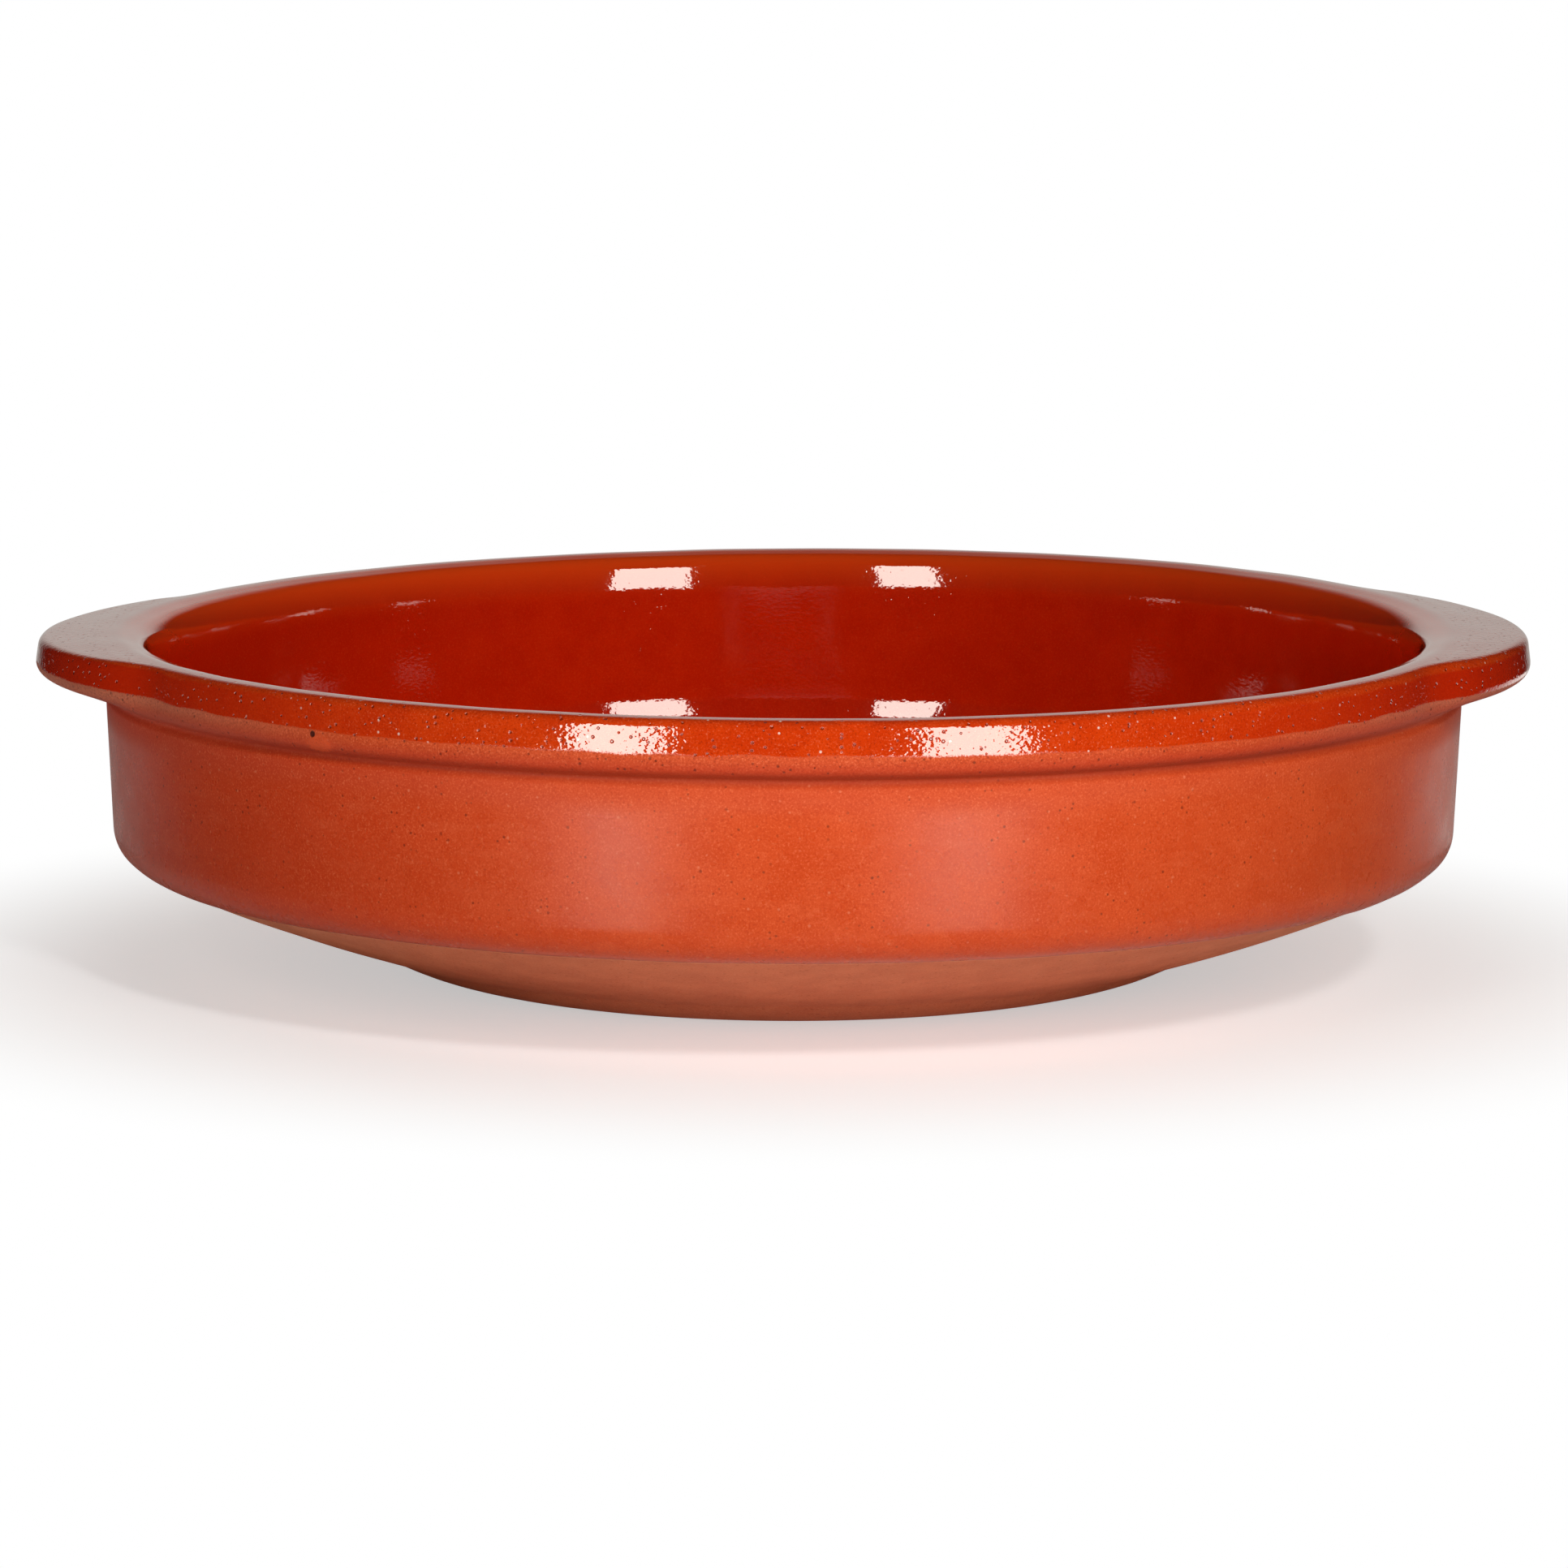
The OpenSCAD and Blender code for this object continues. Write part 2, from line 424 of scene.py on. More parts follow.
class Graph:
    """Short calls that add shader nodes. A socket given as a value is linked."""

    def __init__(self, tree):
        self.tree = tree
        tree.nodes.clear()

    def add(self, kind, inputs=(), out=0, **settings):
        """A node's output socket, or the node itself without one."""
        node = self.tree.nodes.new(kind)
        for name, value in settings.items():
            setattr(node, name, value)
        for key, value in dict(inputs).items():
            self.set(node.inputs[key], value)
        return node.outputs[out] if out is not None else node

    def set(self, socket, value):
        if isinstance(value, bpy.types.NodeSocket):
            self.tree.links.new(value, socket)
        else:
            socket.default_value = value

    def math(self, operation, *values):
        return self.add("ShaderNodeMath", enumerate(values), operation=operation)

    def times(self, a, b):
        return self.math("MULTIPLY", a, b)

    def without(self, value, share):
        """A value less this share of it."""
        return self.times(value, self.math("SUBTRACT", 1.0, share))

    def vector(self, operation, *values):
        return self.add("ShaderNodeVectorMath", enumerate(values), operation=operation)

    def length(self, vector):
        return self.add("ShaderNodeVectorMath", {0: vector}, "Value", operation="LENGTH")

    def away(self, vector, place, stretch):
        """Distance from a place, each axis stretched on its own."""
        return self.length(self.vector("MULTIPLY", self.vector("SUBTRACT", vector, place), stretch))

    def attribute(self, name):
        return self.add("ShaderNodeAttribute", out="Fac", attribute_name=name)

    def ramp(self, value, start, end, low=0.0, high=1.0):
        """A smooth step from low at start to high at end."""
        ends = {"Value": value, "From Min": start, "From Max": end, "To Min": low, "To Max": high}
        return self.add("ShaderNodeMapRange", ends, interpolation_type="SMOOTHSTEP")

    def line(self, value, rise, fall, strength):
        """A soft line, where one step has risen and the other hasn't fallen yet."""
        return self.times(self.times(self.ramp(value, *rise), self.ramp(value, *fall)), strength)

    def number(self, factor, a, b):
        """A mix of two numbers, which the node takes at 2 and 3."""
        return self.add("ShaderNodeMix", {0: factor, 2: a, 3: b})

    def color(self, factor, a, b):
        """A mix of two colours, which the node takes at 6 and 7 and gives at 2."""
        return self.add("ShaderNodeMix", {0: factor, 6: a, 7: b}, 2, data_type="RGBA")

    def layers(self, marks, color, rows):
        """Colours over a colour: rows of mark, start and end of its step, strength and colour."""
        for mark, start, end, strength, over in rows:
            color = self.color(self.ramp(marks[mark], start, end, 0.0, strength), color, over)
        return color

    def noise(self, vector, size, detail, rough):
        """Noise from 0 to 1 whose features are about size millimetres across."""
        inputs = {"Vector": vector, "Scale": 1.0 / size, "Detail": detail, "Roughness": rough}
        return self.add("ShaderNodeTexNoise", inputs)

    def dots(self, vector, spacing, radius, share):
        """Soft dots, 1 at their middle, of up to radius millimetres, in this share of the cells."""
        inputs = {"Vector": vector, "Scale": 1.0 / spacing}
        cells = self.add("ShaderNodeTexVoronoi", inputs, out=None)
        chance = self.add("ShaderNodeSeparateColor", {0: cells.outputs["Color"]})
        size = self.ramp(chance, 1 - share, 1.0, 0.0, radius / spacing)
        near = self.math("DIVIDE", cells.outputs["Distance"], self.math("MAXIMUM", size, NO_DOT))
        return self.ramp(near, DOT_MIDDLE, 1.0, 1.0, 0.0)

    def glow(self, strength):
        return self.add("ShaderNodeEmission", {0: WHITE, 1: strength})


def srgb(r, g, b):
    """A colour read from 0 to 255, as the linear colour a shader takes."""

    def linear(v):
        v = v / 255
        return v / 12.92 if v <= 0.04045 else ((v + 0.055) / 1.055) ** 2.4

    return (linear(r), linear(g), linear(b), 1.0)


# Colours of the finishes.
CLAY = srgb(230, 130, 88)
CLAY_PALE = srgb(240, 160, 122)
CLAY_DARK = srgb(196, 92, 56)
BAND = srgb(206, 74, 24)
BAND_SIDE_REFLECTION = srgb(192, 110, 84)
SLIP = srgb(212, 77, 28)
SLIP_DEEP = srgb(205, 70, 23)
SLIP_PALE = srgb(236, 122, 80)
SLIP_GRAIN_AND_SHADE = srgb(180, 44, 8)
SLIP_LEFT_SHADE = srgb(200, 56, 13)
SLIP_DARK = srgb(136, 32, 8)
GLAZE = srgb(224, 67, 11)
GLAZE_DEEP = srgb(214, 57, 7)
GLAZE_LIT_LIP = srgb(246, 76, 15)
GLAZE_INSIDE = srgb(218, 40, 2)
GLAZE_SHADE = srgb(210, 34, 1)
GLAZE_SIDE_SHADE = srgb(206, 36, 2)
GLAZE_LEFT_SHADE = srgb(176, 22, 0)
GLAZE_PALE = srgb(246, 150, 104)
GLINT = srgb(255, 214, 196)
PIT = srgb(70, 16, 6)
SMEARED = srgb(226, 84, 38)

# Noise: size, detail and roughness. The skin's is squeezed in height, and the turned streaks are
# long round the axis and fine across it.
MOTTLE = (8, 4, 0.6)
GRAIN = (0.42, 3, 0.7)
STREAK = (2.4, 3, 0.5)
SKIN = (1.1, 1, 0.4)
SKIN_SQUEEZE = (1, 1, 1.8)
STREAK_SQUEEZE = 0.2
# Dots: spacing, largest radius, and the share of the cells that hold one.
PITS = (1.2, 0.42, 0.7)
FLECKS = (1.9, 0.4, 0.5)
# A shift that keeps the flecks apart from the pits.
FLECK_SHIFT = (31, 17, 5)

# Layers of colour from the bottom up: the mark they follow, where its step starts and ends, their
# strength, and their colour.
CLAY_LAYERS = [
    # Painted reflection: the clay is paler to either side, as if it mirrored the pale surroundings
    # at a glancing angle.
    ("aside", 60, 125, 0.8, CLAY_PALE),
    ("mottle", 0.3, 0.7, 0.35, CLAY_DARK),
    ("grain", 0.5, 0.75, 0.6, CLAY_PALE),
    ("grain", 0.48, 0.28, 0.4, CLAY_DARK),
]
SLIP_LAYERS = [
    ("mottle", 0.3, 0.7, 1.0, SLIP),
    # Painted shade: the slip is darker and redder towards the left, where less light falls.
    ("leftward", 20, 120, 0.85, SLIP_LEFT_SHADE),
    ("streak", 0.5, 0.75, 0.08, SLIP_PALE),
    ("grain", 0.5, 0.72, 0.5, SLIP_PALE),
    ("grain", 0.48, 0.28, 0.6, SLIP_GRAIN_AND_SHADE),
]
BAND_LAYERS = [
    # Painted reflection: the band is paler and pinker under the lugs, as if it mirrored the table.
    ("aside", 80, 140, 0.9, BAND_SIDE_REFLECTION),
    ("grain", 0.5, 0.72, 0.8, SLIP_PALE),
    ("grain", 0.48, 0.28, 0.8, SLIP_DARK),
    # Painted shade: the band darkens towards the groove, where it rounds under.
    ("band_mm", 4.4, 1.4, 0.6, SLIP_GRAIN_AND_SHADE),
]
OUTER_GLAZE_LAYERS = [
    ("mottle", 0.3, 0.7, 1.0, GLAZE),
    ("grain", 0.55, 0.75, 0.45, GLAZE_PALE),
    ("grain", 0.47, 0.3, 0.6, SLIP_DARK),
]
INNER_GLAZE_LAYERS = [
    ("mottle", 0.3, 0.7, 1.0, GLAZE_INSIDE),
    # Painted shade: the inside is darker towards the left.
    ("leftward", 40, 130, 0.7, GLAZE_LEFT_SHADE),
    ("grain", 0.5, 0.75, 0.12, SLIP_PALE),
    ("grain", 0.5, 0.25, 0.25, SLIP_DARK),
]

# How strongly pits, flecks and the pinholes of the glaze show, the pinholes' darkness being painted
# shade, and where the slip has its pits.
PIT_SHOW = 0.6
FLECK_SHOW = 0.3
HOLE_SHOW = 0.5
SLIP_PITS = (0.45, 0.6)
# Heights of the reliefs, and depths of the pits and pinholes.
CLAY_GRAIN_H = 0.09
SLIP_GRAIN_H = 0.012
STREAK_H = 0.004
PIT_DEPTH = 0.1
HOLE_DEPTH = 0.2
# Roughness, for the slip with the step of the mottling that it follows.
CLAY_ROUGH = 0.8
SLIP_ROUGH = (0.35, 0.65, 0.2, 0.255)
BAND_ROUGH = 0.62
GLAZE_ROUGH = 0.06

# Steps that change the glaze, by the distance from the crest towards the inside: where the painted
# glints end, the lip with its painted light and the deep inside begin, and the pinholes and the
# ripple grow faint.
GLINTS_END = (1.0, -1.0)
LIP_BEGINS = (0.5, 3.0)
INSIDE_BEGINS = (4.5, 16.0)
HOLES_FAINT = (-2.0, 1.0, 1.0, 0.03)
RIPPLE_FAINT = (-3.0, 1.0, 0.075, 0.014)
# Painted shade: the glaze on the face is redder and darker to either side, by the distance from the
# middle and the height over the glaze's edge.
RED_ASIDE = (55, 140, 0.0, 0.85)
RED_FACE = (5.9, 5.0)

# How ragged the edges of the glaze and the slip are, and the steps across each finish's edge.
GLAZE_RAGGED = 1.2
SLIP_RAGGED = 0.5
GLAZE_EDGE = (-0.18, 0.18)
GLAZE_RISES = (-0.15, 0.35)
SLIP_EDGE = (-0.15, 0.15)
BAND_EDGE = (-0.4, 1.2)
BAND_MATTE = (-10.0, -1.5)
# Lines along the slip's edge, a dark one and a pale painted highlight: the step in, the step out,
# and the strength.
DARK_LINE = ((-0.1, 0.2), (0.9, 0.3), 0.45)
PAINTED_HIGHLIGHT_LINE = ((-0.9, -0.5), (0.0, -0.3), 0.5)
# Painted shade: the groove is darkened in colour, less so to either side. Its middle is this far
# under the band's zero.
GROOVE_OFF = 0.2
GROOVE_SHADE = (2.2, 0.3, 0.0, 0.6)
GROOVE_SHADE_ASIDE = (130, 95, 0.35, 1.0)

# Flaws on the rim, each with its place, the stretch of its axes and the step across its edge.
CHIP = (-93.6, -106.5, 62.7)
CHIP_STRETCH = (1, 1, 1)
CHIP_EDGE = (0.75, 0.4)
CHIP_SHOW = 0.95
CHIP_DEPTH = 0.5
SMEAR = (-92.3, -107.4, 60.9)
SMEAR_STRETCH = (1, 1, 1.7)
SMEAR_RAGGED = 5.0
SMEAR_EDGE = (4.0, 2.0)
SMEAR_SHOW = 0.7
SMEAR_GRAIN_H = 0.25
DULL_SPOT = (9.4, -139.9, 70.2)
DULL_STRETCH = (1, 3.2, 1)
DULL_EDGE = (4.4, 3.4, 0.0, 0.75)

# The coat of glaze is strongly refractive, and less so low inside, apart from the back.
BODY_IOR = 1.4
COAT_IOR = 2.3
COAT_ROUGH = 0.035
LOW_INSIDE = (62, 52)
NOT_AT_BACK = (118, 98, 0.0, 0.8)


def surface_marks(g):
    """What the finishes go by: places and distances in millimetres, and textures."""
    place = g.add("ShaderNodeTexCoord", out="Object")
    at = g.add("ShaderNodeVectorMath", {0: place, "Scale": 1 / MM}, operation="SCALE")
    x, y, z = g.add("ShaderNodeSeparateXYZ", {0: at}, out=None).outputs
    radius = g.length(g.vector("MULTIPLY", at, (1, 1, 0)))
    across = g.math("ADD", radius, g.times(x, STREAK_SQUEEZE))
    turned = g.add("ShaderNodeCombineXYZ", {0: across, 1: g.times(y, STREAK_SQUEEZE), 2: z})
    marks = {
        "at": at,
        "y": y,
        "z": z,
        "aside": g.math("ABSOLUTE", x),
        "leftward": g.times(x, -1.0),
        "mottle": g.noise(at, *MOTTLE),
        "grain": g.noise(at, *GRAIN),
        "streak": g.noise(turned, *STREAK),
        "skin": g.noise(g.vector("MULTIPLY", at, SKIN_SQUEEZE), *SKIN),
        "pits": g.dots(at, *PITS),
        "flecks": g.dots(g.vector("ADD", at, FLECK_SHIFT), *FLECKS),
    }
    marks["ragged"] = g.math("SUBTRACT", marks["grain"], 0.5)
    for name in ("glaze_mm", "slip_mm", "band_mm", "inside_mm"):
        marks[name] = g.attribute(name)
    return marks


def clay_finish(g, marks):
    """Bare fired clay: chalky, with grains and small pits."""
    color = g.layers(marks, CLAY, CLAY_LAYERS)
    color = g.color(g.times(marks["pits"], PIT_SHOW), color, CLAY_DARK)
    pits = g.times(marks["pits"], PIT_DEPTH)
    height = g.math("SUBTRACT", g.times(marks["grain"], CLAY_GRAIN_H), pits)
    return color, CLAY_ROUGH, height


def slip_finish(g, marks):
    """The smooth, satin outside of the wall."""
    color = g.layers(marks, SLIP_DEEP, SLIP_LAYERS)
    sparse = g.times(marks["pits"], g.ramp(marks["mottle"], *SLIP_PITS))
    color = g.color(g.times(sparse, PIT_SHOW), color, PIT)
    color = g.color(g.times(marks["flecks"], FLECK_SHOW), color, CLAY_PALE)
    streaks = g.times(marks["streak"], STREAK_H)
    height = g.math("ADD", g.times(marks["grain"], SLIP_GRAIN_H), streaks)
    return color, g.ramp(marks["mottle"], *SLIP_ROUGH), height


def band_color(g, marks):
    """The bare band between the slip and the glaze, with shade painted darker towards the groove.
    """
    color = g.layers(marks, BAND, BAND_LAYERS)
    return g.color(g.times(marks["pits"], PIT_SHOW), color, PIT)


def glaze_finish(g, marks):
    """Clear glaze over red clay: glassy and pinholed, deeper in colour on the inside."""
    inward = marks["inside_mm"]
    outer = g.layers(marks, GLAZE_DEEP, OUTER_GLAZE_LAYERS)
    # Painted glints: pale dots on the outer glaze, up to the crest.
    outer = g.color(g.times(marks["flecks"], g.ramp(inward, *GLINTS_END)), outer, GLINT)
    painted_side_shade = g.times(g.ramp(marks["aside"], *RED_ASIDE), g.ramp(marks["glaze_mm"], *RED_FACE))
    outer = g.color(painted_side_shade, outer, GLAZE_SIDE_SHADE)
    # Painted light: the lip is lighter, as an upward-facing zone that the lamps light more.
    outer = g.color(g.ramp(inward, *LIP_BEGINS), outer, GLAZE_LIT_LIP)
    inner = g.layers(marks, GLAZE_SHADE, INNER_GLAZE_LAYERS)
    color = g.color(g.ramp(inward, *INSIDE_BEGINS), outer, inner)
    # Painted shade: the glaze's pinholes are darkened in colour.
    holes = g.times(marks["pits"], g.ramp(inward, *HOLES_FAINT))
    color = g.color(g.times(holes, HOLE_SHOW), color, PIT)
    rippled = g.times(marks["skin"], g.ramp(inward, *RIPPLE_FAINT))
    return color, GLAZE_ROUGH, g.math("SUBTRACT", rippled, g.times(holes, HOLE_DEPTH))


def finished_surface(g, marks):
    """Colour, roughness and height of the dish, each finish over the one before, and the cover
    of the glaze."""
    clay, clay_rough, clay_height = clay_finish(g, marks)
    slip, slip_rough, slip_height = slip_finish(g, marks)
    glaze, glaze_rough, glaze_height = glaze_finish(g, marks)
    ragged, band_mm = marks["ragged"], marks["band_mm"]
    slip_at = g.math("ADD", marks["slip_mm"], g.times(ragged, SLIP_RAGGED))
    glaze_at = g.math("ADD", marks["glaze_mm"], g.times(ragged, GLAZE_RAGGED))

    # The slip ends in a thin dark line, with a painted highlight, a pale line, just under it.
    slip = g.color(g.line(slip_at, *DARK_LINE), slip, PIT)
    clay = g.color(g.line(slip_at, *PAINTED_HIGHLIGHT_LINE), clay, CLAY_PALE)
    slipped = g.ramp(slip_at, *SLIP_EDGE)
    color = g.color(slipped, clay, slip)
    rough = g.number(slipped, clay_rough, slip_rough)
    height = g.number(slipped, clay_height, slip_height)

    banded = g.ramp(g.math("ADD", band_mm, ragged), *BAND_EDGE)
    color = g.color(banded, color, band_color(g, marks))
    # Painted shade in the groove, weaker to either side.
    from_groove = g.math("ABSOLUTE", g.math("ADD", band_mm, GROOVE_OFF))
    less_aside = g.ramp(marks["aside"], *GROOVE_SHADE_ASIDE)
    color = g.color(g.times(g.ramp(from_groove, *GROOVE_SHADE), less_aside), color, SLIP_DARK)
    rough = g.number(g.ramp(band_mm, *BAND_MATTE), rough, BAND_ROUGH)
    height = g.number(banded, height, clay_height)

    glazed = g.ramp(glaze_at, *GLAZE_EDGE)
    color = g.color(glazed, color, glaze)
    rough = g.number(glazed, rough, glaze_rough)
    height = g.number(g.ramp(glaze_at, *GLAZE_RISES), height, glaze_height)
    return color, rough, height, glazed


def chip_and_smear(g, marks, color, height):
    """The chip in the glaze at the front left, with its smear."""
    hole = g.ramp(g.away(marks["at"], CHIP, CHIP_STRETCH), *CHIP_EDGE)
    smear_at = g.away(marks["at"], SMEAR, SMEAR_STRETCH)
    smear_at = g.math("ADD", smear_at, g.times(marks["ragged"], SMEAR_RAGGED))
    smear = g.ramp(smear_at, *SMEAR_EDGE)
    color = g.color(g.times(smear, SMEAR_SHOW), color, SMEARED)
    color = g.color(g.times(hole, CHIP_SHOW), color, PIT)
    height = g.math("SUBTRACT", height, g.times(hole, CHIP_DEPTH))
    coarse = g.times(g.times(smear, marks["grain"]), SMEAR_GRAIN_H)
    return color, g.math("ADD", height, coarse)


def earthenware():
    material = bpy.data.materials.new("earthenware")
    material.use_nodes = True
    g = Graph(material.node_tree)
    marks = surface_marks(g)
    color, rough, height, glazed = finished_surface(g, marks)
    color, height = chip_and_smear(g, marks, color, height)
    coat = g.without(glazed, g.ramp(g.away(marks["at"], DULL_SPOT, DULL_STRETCH), *DULL_EDGE))
    low = g.times(g.ramp(marks["z"], *LOW_INSIDE), g.ramp(marks["y"], *NOT_AT_BACK))
    coat = g.without(coat, low)
    bump = g.add("ShaderNodeBump", {"Height": height, "Distance": MM, "Strength": 1.0})
    inputs = {
        "Base Color": color,
        "Roughness": rough,
        "Normal": bump,
        "IOR": BODY_IOR,
        "Coat Weight": coat,
        "Coat Roughness": COAT_ROUGH,
        "Coat IOR": COAT_IOR,
        "Coat Normal": bump,
    }
    shader = g.add("ShaderNodeBsdfPrincipled", inputs)
    g.add("ShaderNodeOutputMaterial", {0: shader}, out=None)
    return material


def make_dish():
    dish = bpy.data.objects.new("glazed_dish", dish_mesh())
    bpy.context.scene.collection.objects.link(dish)
    dish.data.materials.append(earthenware())
    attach(dish, "root")
    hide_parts("cazuela")


# The floor, its own brightness, and the ring over which it goes over into white.
FLOOR_R = 0.23
FLOOR_SIDES = 96
FLOOR_TONE = 0.8
FLOOR_GLOW = 0.5
FLOOR_FADES = (0.13, 0.22)
# A glow painted into the floor for all rays but the camera's, which throws light up against the
# front of the dish, brightest at this place.
BOUNCE_PLACE = (0.02, -0.15, 0)
BOUNCE_R = 0.15
BOUNCE = 0.15


def make_floor():
    """A pale round floor that keeps the dish's shadow and goes over into the white background."""
    mesh = bpy.data.meshes.new("floor")
    ring = [
        (FLOOR_R * math.cos(a), FLOOR_R * math.sin(a), 0)
        for a in np.linspace(0, math.tau, FLOOR_SIDES, endpoint=False)
    ]
    mesh.from_pydata(ring, [], [range(len(ring))])
    floor = bpy.data.objects.new("floor", mesh)
    bpy.context.scene.collection.objects.link(floor)
    material = bpy.data.materials.new("floor")
    material.use_nodes = True
    g = Graph(material.node_tree)
    place = g.add("ShaderNodeTexCoord", out="Object")
    matte = g.add("ShaderNodeBsdfDiffuse", {0: (FLOOR_TONE,) * 3 + (1,)})
    near = g.add("ShaderNodeAddShader", {0: matte, 1: g.glow(FLOOR_GLOW)})
    faded = g.ramp(g.length(place), *FLOOR_FADES)
    seen = g.add("ShaderNodeMixShader", {0: faded, 1: near, 2: g.glow(1.0)})
    # Painted light: the floor glows here for everything but the camera.
    from_middle = g.length(g.vector("SUBTRACT", place, BOUNCE_PLACE))
    bounce = g.glow(g.ramp(from_middle, BOUNCE_R, 0, 0, BOUNCE))
    lit = g.add("ShaderNodeAddShader", {0: matte, 1: bounce})
    camera_ray = g.add("ShaderNodeLightPath", out="Is Camera Ray")
    shader = g.add("ShaderNodeMixShader", {0: camera_ray, 1: lit, 2: seen})
    g.add("ShaderNodeOutputMaterial", {0: shader}, out=None)
    mesh.materials.append(material)


# Two upright strip softboxes in front: side, azimuth and width in degrees, and radiance.
SOFTBOXES = {"left": (-25.2, 13.0, 4.1), "right": (27.5, 15.6, 4.0)}
LAMP_COLOR = (1.0, 0.97, 0.88)
SOFTBOX_FAR = 0.83
SOFTBOX_LOW_Z = -0.3
SOFTBOX_HIGH_Z = 0.56
# A soft light overhead that only fills.
FILL_SIZE = 1.2
FILL_Z = 1.5
FILL_RADIANCE = 0.5
# A lamp with a soft edge in front, to the right, that only fills: its azimuth and height,
# distance, size, the width of its cone, its power and the place it is aimed at.
KEY_AZIMUTH = math.radians(20)
KEY_RISE = math.radians(35)
KEY_FAR = 1.2
KEY_SIZE = 0.15
KEY_CONE = math.radians(14.2)
KEY_POWER = 48.0
KEY_AIM = (0.0, -0.03, 0.05)


def area_light(name, width, height, radiance, place, aim):
    lamp = bpy.data.lights.new(name, "AREA")
    lamp.shape = "RECTANGLE"
    lamp.size = width
    lamp.size_y = height
    # An area lamp of this power has the wanted radiance all over its face.
    lamp.energy = radiance * math.pi * width * height
    lamp.color = LAMP_COLOR
    light = bpy.data.objects.new(name, lamp)
    bpy.context.scene.collection.objects.link(light)
    light.location = place
    light.rotation_euler = (Vector(aim) - light.location).to_track_quat("-Z", "Y").to_euler()
    light.visible_camera = False
    return light


def make_softboxes():
    middle_z = (SOFTBOX_LOW_Z + SOFTBOX_HIGH_Z) / 2
    height = SOFTBOX_HIGH_Z - SOFTBOX_LOW_Z
    for name, (azimuth, width, radiance) in SOFTBOXES.items():
        turn = math.radians(azimuth) - CAMERA_TURN
        size = 2 * SOFTBOX_FAR * math.tan(math.radians(width) / 2)
        place = (SOFTBOX_FAR * math.sin(turn), -SOFTBOX_FAR * math.cos(turn), middle_z)
        area_light("softbox_" + name, size, height, radiance, place, (0, 0, middle_z))


def make_key():
    lamp = bpy.data.lights.new("key", "SPOT")
    lamp.energy = KEY_POWER
    lamp.spot_size = KEY_CONE
    lamp.spot_blend = 1.0
    lamp.shadow_soft_size = KEY_SIZE
    key = bpy.data.objects.new("key", lamp)
    bpy.context.scene.collection.objects.link(key)
    across = math.cos(KEY_RISE) * KEY_FAR
    away = Vector((
        math.sin(KEY_AZIMUTH) * across,
        -math.cos(KEY_AZIMUTH) * across,
        math.sin(KEY_RISE) * KEY_FAR,
    ))
    key.location = Vector(KEY_AIM) + away
    key.rotation_euler = away.to_track_quat("Z", "Y").to_euler()
    key.visible_glossy = False


def make_lights():
    make_softboxes()
    fill = area_light("fill", FILL_SIZE, FILL_SIZE, FILL_RADIANCE, (0, 0, FILL_Z), (0, 0, 0))
    fill.visible_glossy = False
    make_key()


# What the glaze mirrors: dark in front, a white backdrop behind, brighter to the right, and a
# pale table below. The steps go by a direction's part to the side, to the back, or upwards.
DARK = 0.005
BACKDROP = 0.49
BACKDROP_RIGHT = 1.0
TO_THE_RIGHT = (0.15, 0.4)
BACKDROP_SIDES = (0.45, 0.12)
BACKDROP_FRONT = (0.0, 0.1)
BACKDROP_TOP = (0.7, 0.24)
TABLE_FRONT = (0.4, 0.9)
TABLE_TOP = (-0.135, -0.175)
# How bright the surroundings are for everything else, and their colour.
AMBIENT_LEFT = 0.01
AMBIENT_RIGHT = 0.1
AMBIENT_BACK = 0.9
AMBIENT_BELOW = 0.62
LEFT_TO_RIGHT = (-0.3, 0.9)
TO_THE_BACK = (0.5, 0.95)
DOWNWARDS = (0.0, -0.15)
WARM = (1.0, 0.93, 0.87, 1.0)


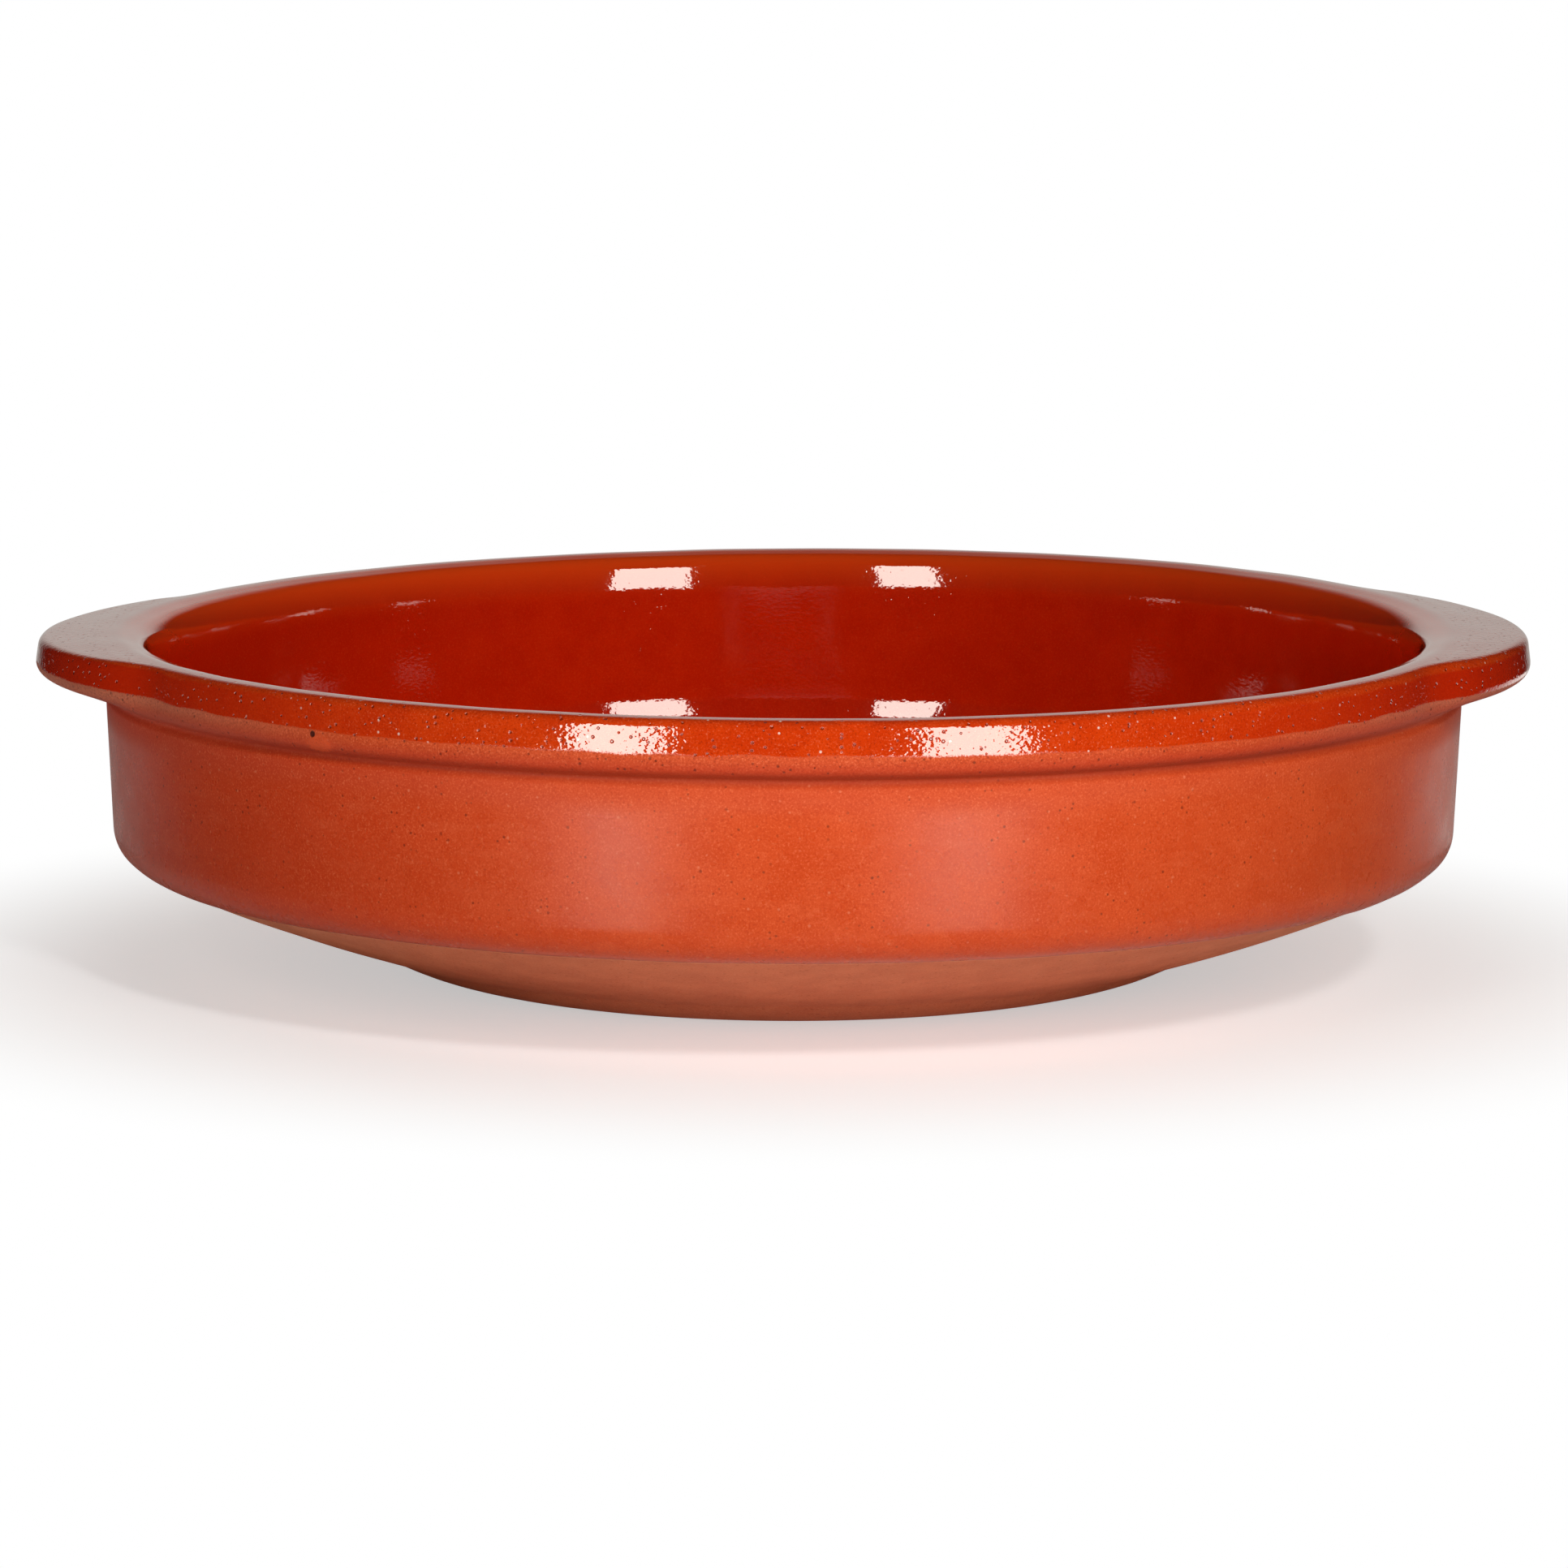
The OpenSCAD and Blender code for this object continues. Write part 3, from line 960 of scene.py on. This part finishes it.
def make_world():
    world = bpy.data.worlds.new("studio")
    world.use_nodes = True
    g = Graph(world.node_tree)
    direction = g.add("ShaderNodeTexCoord", out="Generated")
    x, y, z = g.add("ShaderNodeSeparateXYZ", {0: direction}, out=None).outputs
    aside = g.math("ABSOLUTE", x)
    backdrop = g.times(g.ramp(aside, *BACKDROP_SIDES), g.ramp(y, *BACKDROP_FRONT))
    backdrop = g.times(backdrop, g.ramp(z, *BACKDROP_TOP))
    table = g.times(g.ramp(y, *TABLE_FRONT), g.ramp(z, *TABLE_TOP))
    pale = g.ramp(x, *TO_THE_RIGHT, BACKDROP, BACKDROP_RIGHT)
    mirrored = g.number(g.math("MAXIMUM", backdrop, table), DARK, pale)
    ambient = g.ramp(x, *LEFT_TO_RIGHT, AMBIENT_LEFT, AMBIENT_RIGHT)
    ambient = g.number(g.ramp(y, *TO_THE_BACK), ambient, AMBIENT_BACK)
    ambient = g.number(g.ramp(z, *DOWNWARDS), ambient, AMBIENT_BELOW)
    rays = g.add("ShaderNodeLightPath", out=None).outputs
    strength = g.number(rays["Is Glossy Ray"], ambient, mirrored)
    strength = g.number(rays["Is Camera Ray"], strength, 1.0)
    tone = g.color(rays["Is Camera Ray"], WARM, WHITE)
    background = g.add("ShaderNodeBackground", {0: tone, 1: strength})
    g.add("ShaderNodeOutputWorld", {0: background}, out=None)
    bpy.context.scene.world = world


# The camera's distance from the axis and its height, its downward pitch and its roll in radians,
# and the width of its sensor and its focal length.
CAMERA_FAR = 1498.7
CAMERA_HEIGHT = 259.9
CAMERA_PITCH = 0.1475
CAMERA_ROLL = 0.005
SENSOR = 36.0
FOCAL = 167.5


def make_camera():
    data = bpy.data.cameras.new("camera")
    data.sensor_width = SENSOR
    data.lens = FOCAL
    camera = bpy.data.objects.new("camera", data)
    bpy.context.scene.collection.objects.link(camera)
    turn = Matrix.Rotation(-CAMERA_TURN, 3, "Z")
    ahead = turn @ Vector((0, math.cos(CAMERA_PITCH), -math.sin(CAMERA_PITCH)))
    right = turn @ Vector((1, 0, 0))
    up = right.cross(ahead)
    c, s = math.cos(CAMERA_ROLL), math.sin(CAMERA_ROLL)
    right, up = right * c + up * s, up * c - right * s
    place = turn @ Vector((0, -CAMERA_FAR, CAMERA_HEIGHT)) * MM
    pose = Matrix((right, up, -ahead)).transposed().to_4x4()
    camera.matrix_world = Matrix.Translation(place) @ pose
    bpy.context.scene.camera = camera


make_dish()
make_floor()
make_lights()
make_world()
make_camera()
bpy.context.scene.view_settings.view_transform = "Standard"
